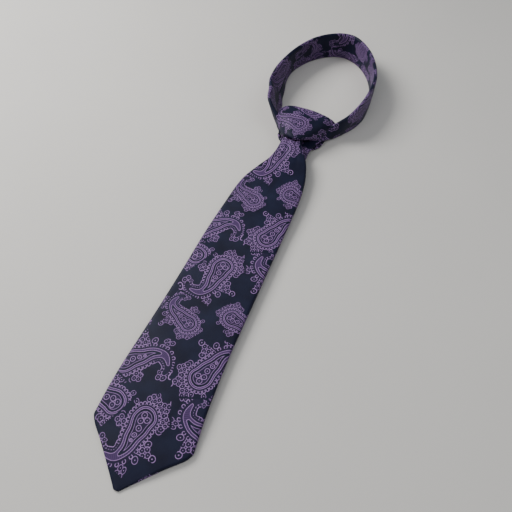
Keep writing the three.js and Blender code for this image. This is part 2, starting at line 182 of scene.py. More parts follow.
def cloth(name, C, t, uv, material, flip=False, plain_start=False, plain_end=False):
    """A sheet of thickness t about the grid C (stations, points across), its rim rounded. A plain end is cut square."""
    K, n, _ = C.shape
    N = grid_normals(C)
    if flip:
        N = -N
    if np.ndim(t):
        t = np.asarray(t, float)[..., None]
    top = C + N * (t / 2)
    low = C - N * (t / 2)
    tt = np.broadcast_to(t, (K, n, 1))
    verts = [top.reshape(-1, 3), low.reshape(-1, 3)]
    uvs = [uv.reshape(-1, 2), uv.reshape(-1, 2)]
    T = lambda k, i: k * n + i
    B = lambda k, i: K * n + k * n + i
    faces = []
    for k in range(K - 1):
        for i in range(n - 1):
            a, b, c, d = (k, i), (k, i + 1), (k + 1, i + 1), (k + 1, i)
            f = [T(*a), T(*b), T(*c), T(*d)]
            g = [B(*a), B(*d), B(*c), B(*b)]
            if flip:
                f, g = f[::-1], g[::-1]
            faces += [f, g]
    # rim
    loop = [(0, i) for i in range(n - 1)] + [(k, n - 1) for k in range(K - 1)]
    loop += [(K - 1, i) for i in range(n - 1, 0, -1)] + [(k, 0) for k in range(K - 1, 0, -1)]
    rim = {}
    count = 2 * K * n
    extra, extra_uv, sharp = [], [], set()
    for k, i in loop:
        if (plain_start and k == 0) or (plain_end and k == K - 1):
            continue
        out = np.zeros(3)
        if i == 0:
            out += C[k, 0] - C[k, 1]
        if i == n - 1:
            out += C[k, -1] - C[k, -2]
        if k == 0:
            out += (C[0, i] - C[1, i]) * (0.2 if i in (0, n - 1) else 1)
        if k == K - 1:
            out += (C[-1, i] - C[-2, i]) * (0.2 if i in (0, n - 1) else 1)
        out -= N[k, i] * np.dot(out, N[k, i])
        ln = np.linalg.norm(out)
        extra.append(C[k, i] + out / max(ln, 1e-9) * float(tt[k, i, 0]) * 0.42)
        extra_uv.append(uv[k, i])
        rim[(k, i)] = count
        count += 1
    for j, a in enumerate(loop):
        b = loop[(j + 1) % len(loop)]
        if a in rim and b in rim:
            fs = [[T(*b), T(*a), rim[a], rim[b]], [rim[b], rim[a], B(*a), B(*b)]]
        elif a in rim:
            fs = [[T(*b), T(*a), rim[a]], [rim[a], B(*a), B(*b)], [T(*b), rim[a], B(*b)]]
        elif b in rim:
            fs = [[T(*b), T(*a), rim[b]], [rim[b], B(*a), B(*b)], [T(*a), B(*a), rim[b]]]
        else:
            fs = [[T(*b), T(*a), B(*a), B(*b)]]
            sharp |= {T(*a), T(*b), B(*a), B(*b)}
        if flip:
            fs = [f[::-1] for f in fs]
        faces += fs
    if extra:
        verts.append(np.array(extra))
        uvs.append(np.array(extra_uv))
    return mesh_object(name, np.concatenate(verts), faces, np.concatenate(uvs), sharp, material)


def tubes(name, lines, radius, material, sides=8):
    """Round threads along several polylines, closed at their ends, as one mesh."""
    verts, faces = [], []
    for line in lines:
        p = np.asarray(line, float)
        tang = np.gradient(p, axis=0)
        tang /= np.linalg.norm(tang, axis=1, keepdims=True)
        ref = np.array([0, 0, 1.0]) if abs(tang[0][2]) < 0.8 else np.array([1.0, 0, 0])
        base = len(verts)
        for j, (c, d) in enumerate(zip(p, tang)):
            a = np.cross(d, ref)
            a /= np.linalg.norm(a)
            b = np.cross(a, d)
            for s in range(sides):
                w = 2 * math.pi * s / sides
                verts.append(c + radius * (math.cos(w) * a + math.sin(w) * b))
        m = len(p)
        for j in range(m - 1):
            for s in range(sides):
                s2 = (s + 1) % sides
                q = [base + j * sides + s, base + j * sides + s2, base + (j + 1) * sides + s2, base + (j + 1) * sides + s]
                faces.append(q[::-1])
        verts += [p[0] - tang[0] * radius * 0.6, p[-1] + tang[-1] * radius * 0.6]
        c0, c1 = len(verts) - 2, len(verts) - 1
        for s in range(sides):
            s2 = (s + 1) % sides
            faces.append([c0, base + s, base + s2])
            faces.append([c1, base + (m - 1) * sides + s2, base + (m - 1) * sides + s][::-1])
    ob = mesh_object(name, np.array(verts), faces, np.array(verts)[:, :2], None, material)
    fix_faces(ob)
    return ob


def fix_faces(ob):
    import bmesh
    bm = bmesh.new()
    bm.from_mesh(ob.data)
    bmesh.ops.recalc_face_normals(bm, faces=bm.faces)
    bm.to_mesh(ob.data)
    bm.free()


# ------------------------------------------------------------------ figured pattern
class NT:
    """Small helper that writes arithmetic as math nodes."""
    def __init__(self, tree):
        self.t = tree
        self.col = 0

    def node(self, kind):
        n = self.t.nodes.new(kind)
        n.location = ((self.col % 40) * 180, -(self.col // 40) * 160)
        self.col += 1
        return n

    def m(self, op, *args, clamp=False):
        if all(isinstance(a, (int, float)) for a in args):
            f = {"ADD": lambda a, b: a + b, "SUBTRACT": lambda a, b: a - b, "MULTIPLY": lambda a, b: a * b,
                 "DIVIDE": lambda a, b: a / b, "SQRT": math.sqrt, "ABSOLUTE": abs}.get(op)
            if f:
                return f(*args)
        n = self.node("ShaderNodeMath")
        n.operation = op
        n.use_clamp = clamp
        for i, a in enumerate(args):
            if isinstance(a, (int, float)):
                n.inputs[i].default_value = float(a)
            else:
                self.t.links.new(a, n.inputs[i])
        return n.outputs[0]

    def add(self, a, b): return self.m("ADD", a, b)
    def sub(self, a, b): return self.m("SUBTRACT", a, b)
    def mul(self, a, b): return self.m("MULTIPLY", a, b)
    def div(self, a, b): return self.m("DIVIDE", a, b)
    def mad(self, a, b, c): return self.m("MULTIPLY_ADD", a, b, c)
    def abs(self, a): return self.m("ABSOLUTE", a)
    def sqrt(self, a): return self.m("SQRT", a)
    def min(self, a, b): return self.m("MINIMUM", a, b)
    def max(self, a, b): return self.m("MAXIMUM", a, b)
    def lt(self, a, b): return self.m("LESS_THAN", a, b)
    def gt(self, a, b): return self.m("GREATER_THAN", a, b)
    def atan2(self, a, b): return self.m("ARCTAN2", a, b)
    def sin(self, a): return self.m("SINE", a)
    def cos(self, a): return self.m("COSINE", a)
    def floor(self, a): return self.m("FLOOR", a)
    def round(self, a): return self.m("ROUND", a)
    def length(self, x, y): return self.sqrt(self.mad(x, x, self.mul(y, y)))

    def mix(self, f, a, b):
        """a where f is 0, b where f is 1"""
        return self.mad(f, self.sub(b, a), a)

    def line(self, d, half, soft=0.12):
        """1 where |d| < half, with a soft rim"""
        n = self.node("ShaderNodeMapRange")
        n.interpolation_type = "SMOOTHSTEP"
        self.t.links.new(self.abs(d), n.inputs["Value"])
        n.inputs["From Min"].default_value = half + soft
        n.inputs["From Max"].default_value = max(half - soft, 0.0)
        n.inputs["To Min"].default_value = 0
        n.inputs["To Max"].default_value = 1
        return n.outputs[0]

    def below(self, d, at, soft=0.12):
        """1 where d < at"""
        n = self.node("ShaderNodeMapRange")
        n.interpolation_type = "SMOOTHSTEP"
        self.t.links.new(d, n.inputs["Value"])
        n.inputs["From Min"].default_value = at + soft
        n.inputs["From Max"].default_value = at - soft
        return n.outputs[0]


CELL_U, CELL_V = 94.0, 157.0
# centre u, v, direction of the round end clockwise from +v in degrees, size
BIG, SMALL = 1.17, 0.90
MOTIFS = [
    (-6.0, 41.0, 6, BIG),
    (28.5, 115.0, -158, BIG),
    (-18.0, 148.5, 114, SMALL),
    (36.0, 160.5, -76, SMALL),
    (46.0, 61.0, 100, BIG),
    (-33.0, 100.0, -128, BIG),
]


def flower(g, x, y, R, petals, half):
    """Line drawing of a small flower of radius R at x, y: a ring in the middle and rounded petals about it."""
    rr = g.div(g.length(x, y), R)
    ang = g.atan2(y, x)
    step = 2 * math.pi / petals
    pa = g.sub(g.mul(g.m("FRACT", g.mad(ang, 1 / step, 40.5)), step), step / 2)
    qx = g.mul(rr, g.cos(pa))
    qy = g.mul(rr, g.sin(pa))
    wide = min(math.sin(math.pi / petals) * 0.6, 0.45)
    ring = g.mul(g.sub(g.length(g.sub(qx, 0.58), qy), wide), R)
    eye = g.below(g.mul(g.length(g.sub(qx, 0.58), qy), R), 0.34)
    return g.max(g.line(ring, half), eye)


def ringlet(g, x, y, R, half):
    """A single ring with a dot in it."""
    d = g.length(x, y)
    return g.max(g.line(g.sub(d, R), half), g.below(d, 0.42))


def paisley_group():
    tree = bpy.data.node_groups.new("figured_paisley", "ShaderNodeTree")
    tree.interface.new_socket("Cloth", in_out="INPUT", socket_type="NodeSocketVector")
    tree.interface.new_socket("Figure", in_out="OUTPUT", socket_type="NodeSocketFloat")
    g = NT(tree)
    gin = g.node("NodeGroupInput")
    gout = g.node("NodeGroupOutput")
    # nearest motif of the repeat
    best_d, best = None, None
    for cu, cv, deg, size in MOTIFS:
        sub = g.node("ShaderNodeVectorMath"); sub.operation = "SUBTRACT"
        tree.links.new(gin.outputs[0], sub.inputs[0])
        code = math.radians(deg) + (20.0 if size == SMALL else 0.0)
        sub.inputs[1].default_value = (cu, cv, -code)
        wrap = g.node("ShaderNodeVectorMath"); wrap.operation = "WRAP"
        tree.links.new(sub.outputs[0], wrap.inputs[0])
        wrap.inputs[1].default_value = (CELL_U / 2, CELL_V / 2, 100)
        wrap.inputs[2].default_value = (-CELL_U / 2, -CELL_V / 2, -100)
        flat = g.node("ShaderNodeVectorMath"); flat.operation = "MULTIPLY"
        tree.links.new(wrap.outputs[0], flat.inputs[0])
        flat.inputs[1].default_value = (1 / size, 1 / size, 0)
        ln = g.node("ShaderNodeVectorMath"); ln.operation = "LENGTH"
        tree.links.new(flat.outputs[0], ln.inputs[0])
        d = ln.outputs["Value"]
        if best is None:
            best_d, best = d, wrap.outputs[0]
            second = 1000.0
        else:
            second = g.min(second, g.max(d, best_d)) if not isinstance(second, float) else g.max(d, best_d)
            nearer = g.lt(d, best_d)
            mx = g.node("ShaderNodeMix"); mx.data_type = "VECTOR"
            tree.links.new(nearer, mx.inputs["Factor"])
            vec_in = [s for s in mx.inputs if s.type == "VECTOR"]
            tree.links.new(best, vec_in[-2])
            tree.links.new(wrap.outputs[0], vec_in[-1])
            best = [s for s in mx.outputs if s.type == "VECTOR"][0]
            best_d = g.min(d, best_d)
    sep = g.node("ShaderNodeSeparateXYZ")
    tree.links.new(best, sep.inputs[0])
    dx, dy, code = sep.outputs
    small = g.gt(code, 10.0)
    code = g.sub(code, g.mul(small, 20.0))
    shrink = g.mix(small, 1 / BIG, 1 / SMALL)
    dx, dy = g.mul(dx, shrink), g.mul(dy, shrink)
    ca, sa = g.cos(code), g.sin(code)
    # turn by the motif's direction: local y points to the round end
    lx = g.sub(g.mul(dx, ca), g.mul(dy, sa))
    ly = g.mad(dx, sa, g.mul(dy, ca))
    # unbend the tail, which curls to the left about a centre of curvature
    RHO, YB, YC = 9.6, 12.0, -9.5
    qy = g.sub(ly, YB)
    ax = g.add(lx, RHO)
    ay = g.sub(YC - YB, qy)
    rad = g.length(ax, ay)
    ang0 = g.atan2(ay, ax)
    ang = g.mad(g.lt(ang0, -math.pi / 2), 2 * math.pi, ang0)
    curl = g.max(g.gt(ay, 0.0), g.mul(g.lt(ax, -1.0), g.gt(ay, -9.0)))
    x1 = g.mix(curl, lx, g.sub(rad, RHO))
    h1 = g.mix(curl, g.mul(qy, -1.0), g.mad(ang, RHO, YB - YC))
    ratio = g.mix(curl, 1.0, g.div(rad, RHO))
    # the tail leaves the straight line a little before the curl, and the outline is never quite even
    wob = g.mul(g.sin(g.mul(h1, 0.55)), 0.25)
    x1 = g.add(x1, wob)
    px = g.abs(x1)

    def drop(r1, r2, L):
        b = (r1 - r2) / L
        a = math.sqrt(1 - b * b)
        k = g.mad(px, -b, g.mul(h1, a))
        round_end = g.sub(g.length(px, h1), r1)
        side = g.sub(g.mad(px, a, g.mul(h1, b)), r1)
        tail_end = g.sub(g.length(px, g.sub(h1, L)), r2)
        d = g.mix(g.lt(k, 0.0), side, round_end)
        d = g.mix(g.gt(k, a * L), d, tail_end)
        return d, k, a, b

    d_in, _, _, _ = drop(6.1, 0.25, 27.0)
    d_mid, _, _, _ = drop(8.2, 0.8, 39.0)
    d_out, k_out, a_o, b_o = drop(9.2, 1.5, 45.0)
    th = g.atan2(px, g.mul(h1, -1.0))
    th0 = math.pi / 2 + math.asin(b_o)
    on_round = g.lt(k_out, 0.0)
    past = g.gt(k_out, a_o * 45.0)

    def along(dist):
        return g.mix(on_round, g.add(k_out, (9.2 + dist) * th0), g.mul(th, 10.4 + dist))

    HALF = 0.33
    # body between the dark line and the beads: two lines with a dimmer weave between them
    body = g.mul(g.gt(d_in, 0.75), g.below(d_mid, 0.3))
    body_lines = g.max(g.line(g.sub(d_in, 0.95), 0.27), g.line(g.sub(d_mid, 0.1), 0.27))
    hatch = g.m("ABSOLUTE", g.sin(g.mul(along(0.0), 2.6)))
    band = g.mul(body, g.max(body_lines, g.mad(hatch, 0.30, 0.16)))
    out_line = 0.0
    live = g.sub(1.0, past)
    # beads
    PB, DB = 3.1, 1.35
    s = along(DB)
    ds = g.mul(g.sub(s, g.mul(g.round(g.div(s, PB)), PB)), ratio)
    dd = g.sub(d_out, DB)
    rb = g.length(ds, dd)
    bead = g.line(g.sub(rb, 1.2), 0.27)
    scal = 0.0
    row_ = g.mul(g.max(bead, scal), live)
    # flowers outside, on a wider step; size, place and presence change from one to the next
    hollow = g.mul(g.lt(x1, 0.0), g.gt(h1, 13.0))
    side_sign = g.m("SIGN", x1)
    flowers, haze = None, None
    for step_, near, grow, seed, share in ((10.6, 3.8, 0.7, 0.0, 0.20), (10.6, 1.8, 0.5, 7.7, 0.25)):
        shift = 0.0 if seed == 0.0 else step_ / 2
        s2 = g.add(along(6.0), shift)
        cell2 = g.round(g.div(s2, step_))
        wn = g.node("ShaderNodeTexWhiteNoise"); wn.noise_dimensions = "1D"
        tree.links.new(g.mad(cell2, 3.7, g.mad(side_sign, 1.3, seed)), wn.inputs["W"])
        hsh = wn.outputs["Value"]
        Rf = g.mad(hsh, grow, near)
        ds2 = g.mul(g.sub(s2, g.mul(cell2, step_)), ratio)
        dd2 = g.sub(d_out, g.add(Rf, 2.2 if seed == 0.0 else 2.6))
        there = g.mul(g.mul(g.gt(hsh, share), live), g.sub(1.0, hollow))
        f = g.mul(flower(g, ds2, dd2, Rf, 4, 0.20) if seed == 0.0 else ringlet(g, ds2, dd2, Rf, 0.22), there)
        hz = g.mul(g.below(g.sub(g.length(ds2, dd2), Rf), 0.0, 0.3), there)
        flowers = f if flowers is None else g.max(flowers, f)
        haze = hz if haze is None else g.max(haze, hz)
        if seed == 0.0:
            # one small flower stands on the outside of each big one
            r3 = g.mad(hsh, 0.6, 1.7)
            q = g.sub(dd2, g.add(Rf, g.add(r3, -0.3)))
            tip_ = g.mul(g.line(g.sub(g.length(ds2, q), r3), 0.27), g.mul(there, g.gt(hsh, 0.45)))
            tip2 = g.mul(g.below(g.length(ds2, q), 0.5), g.mul(there, g.gt(hsh, 0.45)))
            flowers = g.max(flowers, g.max(tip_, tip2))
    # flower at the end of the tail
    endf = flower(g, x1, g.sub(h1, 48.6), 4.4, 4, 0.20)
    endf2 = ringlet(g, g.sub(x1, 5.8), g.sub(h1, 44.5), 2.1, 0.26)
    endz = g.below(g.sub(g.length(x1, g.sub(h1, 48.6)), 4.0), 0.0, 0.3)
    # field inside: a cluster of rings and two single rings, in line
    inside = g.below(d_in, -0.75)
    inner_fl = g.max(flower(g, x1, h1, 4.3, 3, 0.24), g.max(ringlet(g, x1, g.sub(h1, 6.9), 1.9, 0.26), ringlet(g, x1, g.sub(h1, 11.9), 1.5, 0.26)))
    inner_fl = g.mul(g.max(inner_fl, ringlet(g, x1, g.sub(h1, 15.8), 1.0, 0.26)), inside)
    inner_line = g.line(g.add(d_in, 1.0), 0.18)
    inner_fig = g.max(g.max(inner_fl, inner_line), g.mul(g.below(d_in, -1.0), 0.08))
    outer_free = g.gt(d_out, 0.4)
    fig = g.max(band, g.mul(g.max(row_, g.max(flowers, g.max(endf, endf2))), outer_free))
    glow = g.max(g.mul(g.below(d_out, 3.0), g.mul(g.gt(d_mid, 0.2), live)), g.mul(g.max(haze, endz), outer_free))
    fig = g.max(g.max(fig, g.mul(glow, 0.05)), inner_fig)
    gap = g.sub(second, best_d)
    fig = g.mul(fig, g.sub(1.0, g.below(gap, 1.2, 0.2)))
    tree.links.new(fig, gout.inputs["Figure"])
    return tree


# ------------------------------------------------------------------ materials
def group_node(nt, tree):
    n = nt.nodes.new("ShaderNodeGroup")
    n.node_tree = tree
    return n


def base_material(name, roughness, sheen=0.0, sheen_rough=0.4, spec=0.5, sheen_tint=(1, 1, 1)):
    m = bpy.data.materials.new(name)
    m.use_nodes = True
    nt = m.node_tree
    b = nt.nodes["Principled BSDF"]
    b.inputs["Roughness"].default_value = roughness
    b.inputs["Sheen Weight"].default_value = sheen
    b.inputs["Sheen Roughness"].default_value = sheen_rough
    b.inputs["Sheen Tint"].default_value = (*sheen_tint, 1)
    b.inputs["Specular IOR Level"].default_value = spec
    return m, nt, b


def colour_mix(nt, fac, a, b):
    n = nt.nodes.new("ShaderNodeMix")
    n.data_type = "RGBA"
    cols = [s for s in n.inputs if s.type == "RGBA"]
    for s, v in zip(cols, (a, b)):
        if isinstance(v, tuple):
            s.default_value = (*v, 1)
        else:
            nt.links.new(v, s)
    if isinstance(fac, float):
        n.inputs["Factor"].default_value = fac
    else:
        nt.links.new(fac, n.inputs["Factor"])
    return [s for s in n.outputs if s.type == "RGBA"][0]


def cloth_coords(nt):
    n = nt.nodes.new("ShaderNodeUVMap")
    n.uv_map = "cloth"
    return n.outputs[0]


def noise(nt, vec, scale, detail=3.0, rough=0.5):
    n = nt.nodes.new("ShaderNodeTexNoise")
    n.inputs["Scale"].default_value = scale
    n.inputs["Detail"].default_value = detail
    n.inputs["Roughness"].default_value = rough
    nt.links.new(vec, n.inputs["Vector"])
    return n.outputs["Fac"]


def silk_material():
    m, nt, b = base_material("figured_silk", 0.42, sheen=0.03, sheen_rough=0.3, spec=0.14, sheen_tint=(0.7, 0.75, 1.0))
    g = NT(nt)
    uv = cloth_coords(nt)
    pais = group_node(nt, paisley_group())
    nt.links.new(uv, pais.inputs[0])
    fig = pais.outputs["Figure"]
    # ground: navy satin with painted sheen, a broad noise laying lighter blotches that stand in for the satin's sheen;
    # figures: lilac weft, slightly mixed with the ground
    n1 = noise(nt, uv, 0.05, 4.0)
    ground_with_painted_sheen = colour_mix(nt, g.m("MULTIPLY_ADD", n1, 2.2, -0.6, clamp=True), GROUND_A, GROUND_PAINTED_SHEEN)
    n2 = noise(nt, uv, 0.9, 2.0)
    line_ = colour_mix(nt, g.m("MULTIPLY_ADD", n2, 2.0, -0.5, clamp=True), LINE_A, LINE_B)
    half_ = colour_mix(nt, g.m("MULTIPLY", fig, 2.0, clamp=True), ground_with_painted_sheen, DEEP)
    col = colour_mix(nt, g.m("MULTIPLY_ADD", fig, 2.0, -1.0, clamp=True), half_, line_)
    # fine twill lines of the weave
    sep = nt.nodes.new("ShaderNodeSeparateXYZ")
    nt.links.new(uv, sep.inputs[0])
    twill = g.sin(g.mul(g.add(sep.outputs[0], sep.outputs[1]), 2 * math.pi / 0.55))
    shade = nt.nodes.new("ShaderNodeHueSaturation")
    nt.links.new(col, shade.inputs["Color"])
    nt.links.new(g.mad(twill, 0.06, 1.0), shade.inputs["Value"])
    nt.links.new(shade.outputs[0], b.inputs["Base Color"])
    nt.links.new(g.mad(fig, 0.12, 0.5), b.inputs["Roughness"])
    bump = nt.nodes.new("ShaderNodeBump")
    bump.inputs["Strength"].default_value = 0.35
    bump.inputs["Distance"].default_value = 0.0002
    nt.links.new(g.mad(twill, 0.12, g.mad(fig, 0.8, g.mul(n2, 0.3))), bump.inputs["Height"])
    nt.links.new(bump.outputs[0], b.inputs["Normal"])
    return m


def woven_material(name, a, b_, scale, rough, sheen, bump_strength=0.4, weave=0.8):
    m, nt, b = base_material(name, rough, sheen=sheen, sheen_rough=0.5, spec=0.3)
    g = NT(nt)
    uv = cloth_coords(nt)
    n1 = noise(nt, uv, scale, 4.0, 0.6)
    sep = nt.nodes.new("ShaderNodeSeparateXYZ")
    nt.links.new(uv, sep.inputs[0])
    w = g.mul(g.sin(g.mul(sep.outputs[0], 2 * math.pi / weave)), g.sin(g.mul(sep.outputs[1], 2 * math.pi / weave)))
    f = g.m("ADD", g.mad(n1, 1.6, -0.3), g.mul(w, 0.25), clamp=True)
    nt.links.new(colour_mix(nt, f, a, b_), b.inputs["Base Color"])
    bump = nt.nodes.new("ShaderNodeBump")
    bump.inputs["Strength"].default_value = bump_strength
    bump.inputs["Distance"].default_value = 0.0002
    nt.links.new(g.mad(w, 0.4, n1), bump.inputs["Height"])
    nt.links.new(bump.outputs[0], b.inputs["Normal"])
    return m


def floor_material():
    m, nt, b = base_material("floor_matte", 0.7, spec=0.2)
    co = nt.nodes.new("ShaderNodeTexCoord").outputs["Object"]
    n1 = noise(nt, co, 6.0, 3.0)
    nt.links.new(colour_mix(nt, n1, (0.60, 0.585, 0.56), (0.64, 0.625, 0.60)), b.inputs["Base Color"])
    return m


# The second ground colour is painted sheen: the lighter navy of the blotches laid over the dark satin ground.
GROUND_A, GROUND_PAINTED_SHEEN = (0.0045, 0.0050, 0.017), (0.010, 0.013, 0.036)
DEEP = (0.080, 0.040, 0.130)
LINE_A, LINE_B = (0.21, 0.115, 0.30), (0.40, 0.245, 0.50)
SILK = silk_material()
WOOL = woven_material("wool_interlining", (0.62, 0.58, 0.50), (0.78, 0.75, 0.68), 0.7, 0.9, 0.3, 0.6, 1.6)
LINING = woven_material("tipping_cloth", (0.020, 0.026, 0.05), (0.034, 0.044, 0.08), 0.25, 0.45, 0.2, 0.2, 0.4)
THREAD = woven_material("sewing_thread", (0.03, 0.035, 0.07), (0.06, 0.07, 0.12), 2.0, 0.6, 0.2, 0.3, 0.7)
LABEL = woven_material("woven_label", (0.03, 0.035, 0.055), (0.055, 0.06, 0.09), 0.5, 0.55, 0.2, 0.3, 0.5)
FLOOR = floor_material()

# ------------------------------------------------------------------ folded tie section
CLOTH_T = 0.55


def tie_section(l, r, z0, T, ends, lift_l=0.0, lift_r=0.0, crown=0.35, n_flap=12, n_roll=9, n_top=36):
    """The cloth's middle line across the tie: back flap, rolled edge, front, rolled edge, back flap."""
    h = CLOTH_T / 2
    R = min(2.5, (r - l) * 0.28)
    zb, zt = z0 + h, z0 + T - h
    zc, rz = (zb + zt) / 2, (zt - zb) / 2
    le, re = ends
    le = max(le, l + R + 0.2)
    re = min(re, r - R - 0.2)
    pts = []
    for f in np.linspace(0, 1, n_flap):
        x = le + (l + R - le) * f
        pts.append((x, zb + lift_l * (1 - smooth(0, 8, abs(x - le)))))
    for f in np.linspace(0, 1, n_roll + 2)[1:-1]:
        a = math.pi * f
        pts.append((l + R - (R - h) * math.sin(a), zc - rz * math.cos(a)))
    for f in np.linspace(0, 1, n_top):
        x = l + R + (r - l - 2 * R) * f
        q = (2 * f - 1)
        pts.append((x, zt + crown * (1 - q * q)))
    for f in np.linspace(0, 1, n_roll + 2)[1:-1]:
        a = math.pi * f
        pts.append((r - R + (R - h) * math.sin(a), zc + rz * math.cos(a)))
    for f in np.linspace(0, 1, n_flap):
        x = r - R + (re - (r - R)) * f
        pts.append((x, zb + lift_r * (1 - smooth(0, 8, abs(x - re)))))
    return np.array(pts)


def across(sec, first):
    """Distance along the section, zero where the front crosses x = 0."""
    s = np.concatenate([[0], np.cumsum(np.linalg.norm(np.diff(sec, axis=0), axis=1))])
    mid = slice(first, len(sec) - first)
    zero = np.interp(0.0, sec[mid][:, 0], s[mid])
    return s - zero


def blade_grid():
    ys = np.concatenate([[0.9, 2.2, 4, 6.5, 9.5], np.arange(13, 41, 3.0), np.arange(41, 48, 1.5), np.arange(50, 405, 3.5), [405.0]])
    ys = np.unique(np.append(ys, 250.0))
    L, R_, Z, T = table(BLADE, ys)
    C, uv = [], []
    for y, l, r, z0, t in zip(ys, L, R_, Z, T):
        thin = 1 - 0.42 * (1 - float(smooth(0, 30, y)))
        t = t * thin
        w = r - l
        slope = float(smooth(46, 41, y))
        hem = 9 * (1 + 0.42 * slope)
        openf = float(smooth(104, 80, y))
        seam = -1.5
        half = openf * max(w / 2 - hem, 0)
        le = seam + 3.2 * (1 - openf) - half
        re = seam - 3.2 * (1 - openf) + half
        if half > 0:
            le = l + hem + (1 - openf) * (seam + 3.2 - l - hem)
            re = r - hem - (1 - openf) * (r - hem - seam + 3.2)
        if w / 2 < hem + 0.3:
            m = (l + r) / 2
            le, re = m - 0.25, m + 0.25
        crown = 0.25 + 1.5 * float(smooth(352, 385, y)) - 0.9 * float(smooth(388, 400, y))
        sec = tie_section(l, r, z0, t, (le, re), lift_l=0.0, lift_r=0.62 * (1 - openf), crown=crown)
        sec = sec.copy()
        zt = z0 + t
        topness = smooth(0.45, 0.9, (sec[:, 1] - z0) / t)
        x = sec[:, 0]
        soft = 0.22 * np.sin(x / 17 + y / 41) + 0.2 * np.sin(y / 27 - x / 31 + 1.2) + 0.12 * np.sin(y / 13 + x / 11)
        q = (x - (l + r) / 2) / (w / 2)
        pleat = -1.5 * np.exp(-((q + 0.28) / 0.17) ** 2) - 1.2 * np.exp(-((q - 0.42) / 0.15) ** 2)
        soft = soft * float(smooth(4, 30, y)) + 0.75 * pleat * float(smooth(352, 390, y))
        sec[:, 1] += soft * topness
        u = across(sec, 21)
        C.append(np.stack([sec[:, 0], np.full(len(sec), y), sec[:, 1]], axis=1))
        v = y - 11.0 * float(smooth(305, 385, y))
        uv.append(np.stack([u, np.full(len(sec), v)], axis=1))
    return ys, np.array(C), np.array(uv)


YS, BC, BUV = blade_grid()
cut = int(np.argmin(abs(YS - 250.0)))
lower = cloth("blade_lower_cloth", BC[:cut + 1], CLOTH_T, BUV[:cut + 1], SILK, flip=True, plain_end=True)
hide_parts("front_blade_lower_shell")
upper = cloth("blade_upper_cloth", BC[cut:], CLOTH_T, BUV[cut:], SILK, flip=True, plain_start=True)
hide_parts("front_blade_upper_shell")


# ------------------------------------------------------------------ wool, tipping and stitches of the blade
def slab(name, ys, lr, zmid, t, material, inset, n=16, **kw):
    C, uv = [], []
    for y in ys:
        l, r = lr(y)
        l, r = l + inset, r - inset
        if r - l < 1.2:
            m = (l + r) / 2
            l, r = m - 0.6, m + 0.6
        x = np.linspace(l, r, n)
        C.append(np.stack([x, np.full(n, y), np.full(n, zmid(y))], axis=1))
        uv.append(np.stack([x, np.full(n, y)], axis=1))
    tt = np.array([[t(y)] * n for y in ys])
    C, uv = np.array(C), np.array(uv)
    return cloth(name, C, tt, uv, material, flip=False, **kw), uv


def blade_at(y):
    return [float(v[0]) for v in table(BLADE, np.array([y]))]


def tail_at(y):
    return [float(v[0]) for v in table(TAIL, np.array([y]))]


def thin_at(y):
    return 1 - 0.42 * (1 - float(smooth(0, 30, y)))


wool_t = lambda y: max(blade_at(y)[3] * thin_at(y) - 2 * CLOTH_T - 1.35, 0.5)
wool_z = lambda y: blade_at(y)[2] + blade_at(y)[3] * thin_at(y) - CLOTH_T - 0.3 - wool_t(y) / 2
wool_lr = lambda y: blade_at(y)[:2]
w1, w1uv = slab("blade_lower_wool", np.concatenate([[6, 9, 13], np.arange(18, 250, 6.0), [249.8]]), wool_lr, wool_z, wool_t, WOOL, 3.2)
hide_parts("front_blade_lower_interlining")
w2, w2uv = slab("blade_upper_wool", np.concatenate([[250.2], np.arange(256, 398, 6.0), [400]]), wool_lr, wool_z, wool_t, WOOL, 3.2)
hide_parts("front_blade_upper_interlining")

tip_z = lambda y: blade_at(y)[2] + CLOTH_T + 0.75
tip, tipuv = slab("blade_tipping_cloth", np.concatenate([[7, 9, 12], np.arange(15, 48, 3.0), np.arange(50, 118, 5.0)]), wool_lr, tip_z, lambda y: 0.3, LINING, 4.6, n=24)
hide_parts("front_blade_tipping")


def stitches(name, y0, y1, step, seam, z, material, width=2.2, r=0.22):
    lines = []
    y = y0
    while y < y1:
        zz = z(y)
        lines.append([(seam + width * f, y + step * 0.55 * f, zz - 0.34 * math.sin(math.pi * (0.12 + 0.76 * f))) for f in np.linspace(0, 1, 6)])
        y += step
    return tubes(name, lines, r, material, sides=6)


def tack(name, y, seam, z, material, width=7.0):
    lines = []
    for k in range(6):
        yy = y - 1.5 + 0.6 * k
        lines.append([(seam - width / 2 + width * f, yy + 0.15 * math.sin(7 * f + k), z - 0.3 - 0.25 * math.sin(math.pi * f)) for f in np.linspace(0, 1, 9)])
    for k in range(7):
        xx = seam - width / 2 + 0.6 + k * (width - 1.2) / 6
        lines.append([(xx, y - 2.0 + 4.0 * f, z - 0.45 - 0.32 * math.sin(math.pi * f)) for f in np.linspace(0, 1, 6)])
    return tubes(name, lines, 0.26, material, sides=6)


SEAM = -1.5
bt = tack("blade_bar_tack", 101, SEAM + 1.2, blade_at(101)[2], THREAD)
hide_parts("front_bar_tack")
s1 = stitches("blade_lower_slip_stitch", 108, 247, 8.5, SEAM + 0.9, lambda y: blade_at(y)[2] + 0.02, THREAD, width=3.4)
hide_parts("front_lower_slip_stitch")
s2 = stitches("blade_upper_slip_stitch", 254, 334, 8.5, SEAM + 0.9, lambda y: blade_at(y)[2] + 0.02, THREAD, width=3.4)
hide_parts("front_upper_slip_stitch")


def patch(name, x0, x1, y0, y1, z, t, material, n=14, bow=0.0, turned=0.0):
    """A small sewn-on strip: its ends (in x) dip to the cloth it is sewn to."""
    xs = np.linspace(x0, x1, n)
    ys = np.linspace(y0, y1, 8)
    C = np.zeros((len(ys), n, 3))
    for k, y in enumerate(ys):
        f = np.linspace(-1, 1, n)
        C[k, :, 0] = xs
        C[k, :, 1] = y
        C[k, :, 2] = z(y) - bow * (1 - f**4) + turned * np.abs(f) ** 6
    uv = C[:, :, :2].copy()
    return cloth(name, C, t, uv, material), uv


